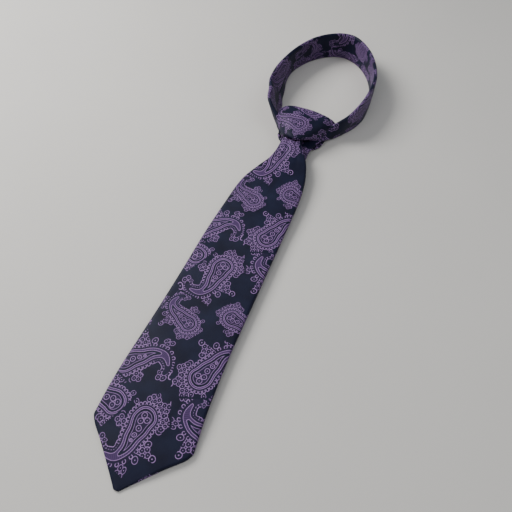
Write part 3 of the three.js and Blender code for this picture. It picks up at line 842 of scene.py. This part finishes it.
lab_z = lambda y: blade_at(y)[2]
kp, kpuv = patch("keeper_loop_cloth", -26.5, 23.5, 214.3, 225.7, lambda y: lab_z(y) - 0.34, 0.5, SILK, n=30, bow=0.5)
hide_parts("keeper_loop")
ml, mluv = patch("maker_label_cloth", -25.5, 22.5, 234.3, 253.7, lambda y: lab_z(y) - 0.22, 0.3, LABEL, n=20, bow=0.12)
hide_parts("maker_label")

# ------------------------------------------------------------------ tail
TAIL_T = 2.9


def tail_grid():
    ys = np.unique(np.concatenate([[126.9, 128.2, 130], np.arange(132, 152, 2.5), np.arange(155, 431, 4.0), [430.5]]))
    L, R_, Z = table(TAIL, ys)
    C, uv = [], []
    for y, l, r, z0 in zip(ys, L, R_, Z):
        t = TAIL_T * (1 - 0.4 * (1 - float(smooth(126, 142, y))))
        w = r - l
        hem = 6.5 * (1 + 0.42 * float(smooth(152, 147, y)))
        openf = float(smooth(182, 166, y))
        seam = 0.4
        le, re = seam + 2.6, seam - 2.6
        if w / 2 > hem + 0.3:
            le = l + hem + (1 - openf) * (seam + 2.6 - l - hem)
            re = r - hem - (1 - openf) * (r - hem - seam + 2.6)
        else:
            m = (l + r) / 2
            le, re = m - 0.25, m + 0.25
        sec = tie_section(l, r, z0, t, (le, re), lift_r=0.6 * (1 - openf), crown=0.15, n_top=22).copy()
        top = smooth(0.45, 0.9, (sec[:, 1] - z0) / t)
        sec[:, 1] += 0.1 * np.sin(y / 23 + sec[:, 0] / 9) * top * float(smooth(128, 150, y))
        u = across(sec, 21)
        C.append(np.stack([sec[:, 0], np.full(len(sec), y), sec[:, 1]], axis=1))
        # the pattern is shifted so its plain dark ground, not a figure, lies on the tail where it shows beside the
        # knot: painted shade standing in for the shadow there
        uv.append(np.stack([u + 3, np.full(len(sec), y) - 52], axis=1))
    return np.array(C), np.array(uv)


TC, TUV = tail_grid()
tail = cloth("tail_cloth", TC, CLOTH_T * 0.9, TUV, SILK, flip=True)
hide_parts("tail_shell")
tl_lr = lambda y: tail_at(y)[:2]
tl_t = lambda y: 0.75
tl_thin = lambda y: 1 - 0.4 * (1 - float(smooth(126, 142, y)))
tw, twuv = slab("tail_wool", np.concatenate([[131, 134], np.arange(138, 428, 6.0), [429]]), tl_lr, lambda y: tail_at(y)[2] + TAIL_T * tl_thin(y) - 0.5 - 0.2 - 0.38, tl_t, WOOL, 3.0)
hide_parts("tail_interlining")
tt_, ttuv = slab("tail_tipping_cloth", np.concatenate([[133, 135], np.arange(138, 150, 3.0), np.arange(152, 191, 5.0)]), tl_lr, lambda y: tail_at(y)[2] + 1.0, lambda y: 0.22, LINING, 4.2, n=16)
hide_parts("tail_tipping")
tb = tack("tail_bar_tack_threads", 180, 1.2, tail_at(180)[2] + 1.1, THREAD, width=5.5)
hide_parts("tail_bar_tack")
ts = stitches("tail_slip_stitch_thread", 187, 286, 8.0, 1.8, lambda y: tail_at(y)[2] + 0.54, THREAD, width=2.8, r=0.18)
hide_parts("tail_slip_stitch")
fl, fluv = patch("fibre_label_cloth", -9.0, 9.4, 157.4, 167.7, lambda y: tail_at(y)[2] + 0.62, 0.24, LABEL, n=14)
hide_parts("fibre_label")


# ------------------------------------------------------------------ knot
def arch(l, r, top, zc, low, th, p=2.8):
    """Point of a rounded ring about the knot at angle th, from the left (pi) over the front to the right (0)."""
    c, s = np.cos(th), np.sin(th)
    cx, w = (l + r) / 2, (r - l) / 2
    h = np.where(s >= 0, top - zc, zc - low)
    x = cx + w * np.sign(c) * np.abs(c) ** (2 / p)
    z = zc + h * np.sign(s) * np.abs(s) ** (2 / p)
    return x, z


def wrap_grid():
    """Front wrap: the folded band swept about the knot from the left side over the front to the right side."""
    TH = np.linspace(math.radians(205), math.radians(-28), 96)
    # loop of the band's own section: q runs from mouth to top edge on the outside and comes back inside
    out = np.linspace(0, 1, 30)
    rows_ = []
    band_t = 3.3
    K = []
    UVk = []
    for j, th in enumerate(TH):
        # where the band's two edges lie, by the place about the knot
        deg = math.degrees(th)
        y_low = np.interp(deg, [-28, 0, 25, 60, 90, 120, 150, 180, 205], [417, 412.5, 402.5, 396.6, 395.4, 397.4, 400.2, 406, 412])
        y_top = np.interp(deg, [-28, 0, 20, 45, 70, 90, 110, 128, 142, 155, 180, 205], [438, 442, 443.5, 442.6, 443.6, 445.6, 446.9, 447.0, 446.2, 443.6, 437.5, 432])
        n_out = 30
        pts = []
        q = np.linspace(0, 1, n_out)
        lip = 2.1
        yo = y_low + lip * 0.4 + (y_top - y_low - lip * 0.8) * q
        l, r, top = [pchip(KNOT[:, 0], KNOT[:, c], np.clip(yo, 396, 447)) for c in (1, 2, 3)]
        x, z = arch(l, r, top, 11.0, 3.2, np.full(n_out, th))
        # inward direction at this angle
        x2, z2 = arch(l, r, top, 11.0, 3.2, np.full(n_out, th + 0.01))
        x1, z1 = arch(l, r, top, 11.0, 3.2, np.full(n_out, th - 0.01))
        tx, tz = x2 - x1, z2 - z1
        ln = np.hypot(tx, tz)
        nx, nz = -tz / ln, tx / ln
        # lips: the outside rolls in at both edges
        roll = lip * (1 - np.sqrt(np.clip(1 - np.clip(1 - q / 0.085, 0, 1) ** 2, 0, 1))) + lip * (1 - np.sqrt(np.clip(1 - np.clip(1 - (1 - q) / 0.085, 0, 1) ** 2, 0, 1)))
        # soft dimple, faint tension folds, swell in the middle
        swell = 0.5 * np.sin(math.pi * q)
        dimple = 1.5 * np.exp(-(((x - 20) / 8.5) ** 2 + ((yo - 434) / 6.0) ** 2)) * (1 if 0 < deg < 180 else 0)
        fold = 0.38 * np.sin((yo - 400) / 4.1 + x / 15.0) * np.exp(-((x + 24) / 13) ** 2) + 0.3 * np.sin((yo - 404) / 5.2 - x / 17.0 + 0.7) * np.exp(-((x - 31) / 11) ** 2)
        d = -swell + dimple + fold + roll
        # an inward push keeps the face inside the solid it stands for
        d = d + 0.55
        xo, zo = x + nx * d, z + nz * d
        outer = np.stack([xo, yo, zo], axis=1)
        xi, zi = x + nx * (band_t + 0.55), z + nz * (band_t + 0.55)
        yi = yo
        n_in = 16
        idx = np.linspace(n_out - 1, 0, n_in)
        inner = np.stack([np.interp(idx, np.arange(n_out), a) for a in (xi, yi, zi)], axis=1)
        # inner face starts and ends short of the lips
        K.append((outer, inner, deg))
    return TH, K


def build_wrap():
    TH, K = wrap_grid()
    # the cloth's middle line: seam edge on the inside, round the mouth lip, over the front, round the top lip, back inside
    C, uv = [], []
    run = 0.0
    prev = None
    for outer, inner, deg in K:
        n_in = len(inner)
        half = n_in // 2
        first = inner[half:]                       # from the middle of the inside to the mouth side
        second = inner[:half]
        line = np.concatenate([first[:-1], outer, second[1:]])
        mid = outer[len(outer) // 2]
        if prev is not None:
            run += float(np.linalg.norm((mid - prev)[[0, 2]]))
        prev = mid
        s = np.concatenate([[0], np.cumsum(np.linalg.norm(np.diff(line, axis=0), axis=1))])
        zero = s[len(first) - 1 + len(outer) // 2]
        C.append(line)
        uv.append(np.stack([-(s - zero), np.full(len(line), run)], axis=1))
    return np.array(C), np.array(uv)


WC, WUV = build_wrap()
KNOT_U, KNOT_V = -11.0, 1.5
WUV = WUV * 1.2 + np.array([KNOT_U, KNOT_V])
wrap = cloth("knot_front_wrap_cloth", WC, 0.7, WUV, SILK)
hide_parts("knot_front_wrap")


def band(name, path, wdir, widths, t_all, uv0, material, crown=0.2, n_face=18):
    """A folded band (closed over its seam) along a path; wdir is the direction across it at each point."""
    path = np.asarray(path, float)
    wdir = np.asarray(wdir, float)
    wdir = wdir / np.linalg.norm(wdir, axis=1, keepdims=True)
    tang = np.gradient(path, axis=0)
    tang /= np.linalg.norm(tang, axis=1, keepdims=True)
    nrm = np.cross(wdir, tang)
    nrm /= np.linalg.norm(nrm, axis=1, keepdims=True)
    C, uv = [], []
    s = np.concatenate([[0], np.cumsum(np.linalg.norm(np.diff(path, axis=0), axis=1))])
    for k in range(len(path)):
        w, t = widths[k], t_all[k]
        sec = tie_section(-w / 2, w / 2, 0, t, (1.6, -1.6), lift_r=min(0.6, t * 0.22), crown=crown, n_top=n_face, n_flap=9, n_roll=7)
        line = path[k] + sec[:, :1] * wdir[k] + (sec[:, 1:] - t / 2) * nrm[k]
        C.append(line)
        a = across(sec, 16)
        uv.append(np.stack([a + uv0[0], np.full(len(a), s[k] + uv0[1])], axis=1))
    C, uv = np.array(C), np.array(uv)
    return C, uv


def lin(points, n):
    return resample(points, n)


# back wrap: crosses behind the knot, flat on the table
bp = lin([(-21, 424, 6.4), (-18.5, 424, 3.0), (-13, 424, 1.95), (0, 424, 1.85), (14, 424, 1.85), (24, 426, 2.0), (30, 428, 3.4), (32, 429, 6.6)], 44)
bC, bUV = band("back", bp, [(0, -1, 0)] * 44, np.interp(np.linspace(0, 1, 44), [0, 0.15, 0.85, 1], [22, 36, 36, 24]), [3.2] * 44, (10, 80), SILK, crown=0.05)
back = cloth("knot_back_wrap_cloth", bC, CLOTH_T, bUV, SILK, flip=True)
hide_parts("knot_back_wrap")
# inner cross: under the front wrap
ip = lin([(-20, 421, 12.5), (-12, 421, 14.2), (0, 421, 15), (14, 423, 14.6), (24, 426, 13.2), (29, 428, 11.8)], 36)
iC, iUV = band("cross", ip, [(0, -1, 0.0)] * 36, np.interp(np.linspace(0, 1, 36), [0, 0.2, 0.8, 1], [20, 28, 28, 20]), [3.0] * 36, (30, 20), SILK, crown=0.1)
cross = cloth("knot_inner_cross_cloth", iC, CLOTH_T, iUV, SILK, flip=True)
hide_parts("knot_inner_cross")
# down pass: over the top edge and down inside to the mouth
dp = lin([(4, 443.6, 10.5), (4, 445.8, 13.5), (4, 446.0, 17.6), (3.5, 444.2, 20.6), (3, 439, 21.8), (2, 431, 21.2), (1, 420, 19.4), (0.3, 408, 17.6), (0.3, 404, 17.2)], 52)
dC, dUV = band("pass", dp, [(1, 0, 0)] * 52, np.interp(np.linspace(0, 1, 52), [0, 0.2, 0.45, 0.8, 1], [40, 44, 42, 24, 21]), np.interp(np.linspace(0, 1, 52), [0, 1], [3.4, 4.2]), (3, 5), SILK, crown=0.3)
down = cloth("knot_down_pass_cloth", dC, CLOTH_T, dUV, SILK, flip=True)
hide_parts("knot_down_pass")

# ------------------------------------------------------------------ neck loop

def catmull(P, n):
    P = np.asarray(P, float)
    d = np.linalg.norm(np.diff(P, axis=0), axis=1) ** 0.5
    s = np.concatenate([[0], np.cumsum(d)])
    m = np.zeros_like(P)
    for i in range(1, len(P) - 1):
        m[i] = ((P[i + 1] - P[i]) / (s[i + 1] - s[i]) * (s[i] - s[i - 1]) + (P[i] - P[i - 1]) / (s[i] - s[i - 1]) * (s[i + 1] - s[i])) / (s[i + 1] - s[i - 1])
    m[0] = (P[1] - P[0]) / (s[1] - s[0])
    m[-1] = (P[-1] - P[-2]) / (s[-1] - s[-2])
    q = np.linspace(0, s[-1], n)
    k = np.clip(np.searchsorted(s, q) - 1, 0, len(P) - 2)
    h = (s[k + 1] - s[k])[:, None]
    t = ((q - s[k]))[:, None] / h
    return ((2 * t**3 - 3 * t**2 + 1) * P[k] + (t**3 - 2 * t**2 + t) * h * m[k] + (-2 * t**3 + 3 * t**2) * P[k + 1] + (t**3 - t**2) * h * m[k + 1])


def neck_lines():
    both = catmull(NECK, 900)
    mid = (both[:, :3] + both[:, 3:]) / 2
    s = np.concatenate([[0], np.cumsum(np.linalg.norm(np.diff(mid, axis=0), axis=1))])
    n = int(s[-1] / 3.6)
    t = np.linspace(0, s[-1], n)
    both = np.stack([np.interp(t, s, both[:, c]) for c in range(6)], axis=1)
    return t, both[:, :3], both[:, 3:]


NS, NL, NU = neck_lines()
mid = (NL + NU) / 2
edge = NU - NL
height = np.linalg.norm(edge, axis=1)
edir = edge / height[:, None]
tang = np.gradient(mid, axis=0)
tang /= np.linalg.norm(tang, axis=1, keepdims=True)
nrm = np.cross(tang, edir)
nrm /= np.linalg.norm(nrm, axis=1, keepdims=True)


def neck_grid(a, b, du, dv, turn):
    """Folded band standing on its edge between stations a and b. The seam is on the inside of the loop."""
    C, uv = [], []
    for k in range(a, b + 1):
        h = height[k]
        s = NS[k]
        t = 4.3 - 1.8 * float(smooth(NS[-1] - 95, NS[-1] - 50, s)) - 0.6 * float(smooth(45, 5, s))
        t *= 1 + 0.05 * math.sin(s / 19)
        drop_ = -0.22 * h * (1 - float(smooth(NS[-1] - 120, NS[-1] - 80, s)))
        sec = tie_section(-h / 2 + 0.15, h / 2 - 0.15, 0, t, (drop_ + 1.8, drop_ - 1.8), lift_r=0.6, crown=0.45, n_top=22, n_flap=12, n_roll=8).copy()
        top = smooth(0.45, 0.9, sec[:, 1] / t)
        near = math.exp(-((s - 52) / 22) ** 2)
        sec[:, 1] += (0.25 * math.sin(s / 16.0) + 0.2 * np.sin(s / 9.0 + sec[:, 0] / 8.0)) * top
        sec[:, 1] += near * (0.9 * np.sin(s / 5.2 + sec[:, 0] / 14.0) + 0.6 * np.sin(s / 7.3 - sec[:, 0] / 9.0)) * (1 - 0.6 * top)
        line = mid[k] + sec[:, :1] * edir[k] - (sec[:, 1:] - t / 2) * nrm[k]
        line[:, 2] = np.maximum(line[:, 2], 0.32)      # the lower edge stands on the table
        C.append(line)
        a_ = across(sec, 20)
        ca, sa = math.cos(turn), math.sin(turn)
        uu, vv = a_, np.full(len(a_), s)
        uv.append(np.stack([uu * ca - vv * sa + du, uu * sa + vv * ca + dv], axis=1))
    return np.array(C), np.array(uv)


def run_at(i):
    """Distance along the band at a row of NECK."""
    p = (NECK[i, :3] + NECK[i, 3:]) / 2
    return float(NS[int(np.argmin(np.linalg.norm(mid - p, axis=1)))])


i1 = int(np.searchsorted(NS, 30 + 0.30 * 460))
i2 = int(np.searchsorted(NS, 30 + 0.70 * 460))
panels = []
for name, a, b, du, dv, turn, node, kw in (
    ("neck_left_cloth", 0, i1, -38, 41 - run_at(6), 0.0, "neck_left_shell", dict(plain_end=True)),
    ("neck_back_cloth", i1, i2, -40, 41 - run_at(17), 0.0, "neck_back_panel", dict(plain_start=True, plain_end=True)),
    ("neck_right_cloth", i2, len(NS) - 1, -15, 41 - run_at(20), 0.0, "neck_right_shell", dict(plain_start=True)),
):
    C, uv = neck_grid(a, b, du, dv, turn)
    ob = cloth(name, C, CLOTH_T, uv, SILK, flip=False, **kw)
    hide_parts(node)
    panels.append((ob, C, uv, b - a))


def neck_lining():
    C, uv = [], []
    for k in range(6, len(NS) - 12):
        h = height[k] - 6.5
        x = np.linspace(-h / 2, h / 2, 12)
        C.append(mid[k] + x[:, None] * edir[k])
        uv.append(np.stack([x, np.full(12, NS[k])], axis=1))
    return np.array(C), np.array(uv)


lC, lUV = neck_lining()
nl = cloth("neck_wool", lC, 1.0, lUV, WOOL)
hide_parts("neck_interlining")

# ------------------------------------------------------------------ bodies
for ob in (lower, w1, s1):
    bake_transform(ob)
for ob in (upper, w2):
    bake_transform(ob)
for ob in (kp, ml):
    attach(ob, "front_blade_upper")
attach(s2, "front_blade_upper")
for ob in (tip, bt):
    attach(ob, "front_blade_lower")
for ob in (tail, tw, tt_, tb, ts, fl):
    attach(ob, "tail")
for ob in (wrap, back, cross, down):
    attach(ob, "knot")
for ob in [p[0] for p in panels] + [nl]:
    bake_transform(ob)

# ------------------------------------------------------------------ floor and light
me = bpy.data.meshes.new("floor")
g = 24
fv = [(-1.6 + 3.2 * i / g, -1.6 + 3.2 * j / g, 0.0) for j in range(g + 1) for i in range(g + 1)]
ff = [(j * (g + 1) + i, j * (g + 1) + i + 1, (j + 1) * (g + 1) + i + 1, (j + 1) * (g + 1) + i) for j in range(g) for i in range(g)]
me.from_pydata(fv, [], ff)
me.materials.append(FLOOR)
floor = bpy.data.objects.new("floor", me)
bpy.context.scene.collection.objects.link(floor)


def area_light(name, where, target, size, power, colour=(1, 1, 1)):
    d = bpy.data.lights.new(name, "AREA")
    d.shape = "RECTANGLE"
    d.size, d.size_y = size
    d.energy = power
    d.color = colour
    ob = bpy.data.objects.new(name, d)
    ob.location = where
    v = np.array(target, float) - np.array(where, float)
    from mathutils import Vector
    ob.rotation_euler = Vector(v).to_track_quat("-Z", "Y").to_euler()
    bpy.context.scene.collection.objects.link(ob)
    return ob


area_light("key", (-0.85, 0.15, 0.8), (0, 0, 0), (0.6, 0.6), 16.5, (1.0, 0.985, 0.96))
area_light("fill", (0.8, 0.2, 1.2), (0, 0.05, 0), (1.0, 0.8), 3.2, (0.96, 0.98, 1.0))
area_light("low", (-0.2, -0.9, 1.0), (0, 0, 0), (0.9, 0.9), 4.0, (1.0, 0.98, 0.96))
world = bpy.data.worlds.new("studio")
bpy.context.scene.world = world
world.use_nodes = True
world.node_tree.nodes["Background"].inputs[0].default_value = (0.82, 0.86, 0.92, 1)
world.node_tree.nodes["Background"].inputs[1].default_value = 0.30
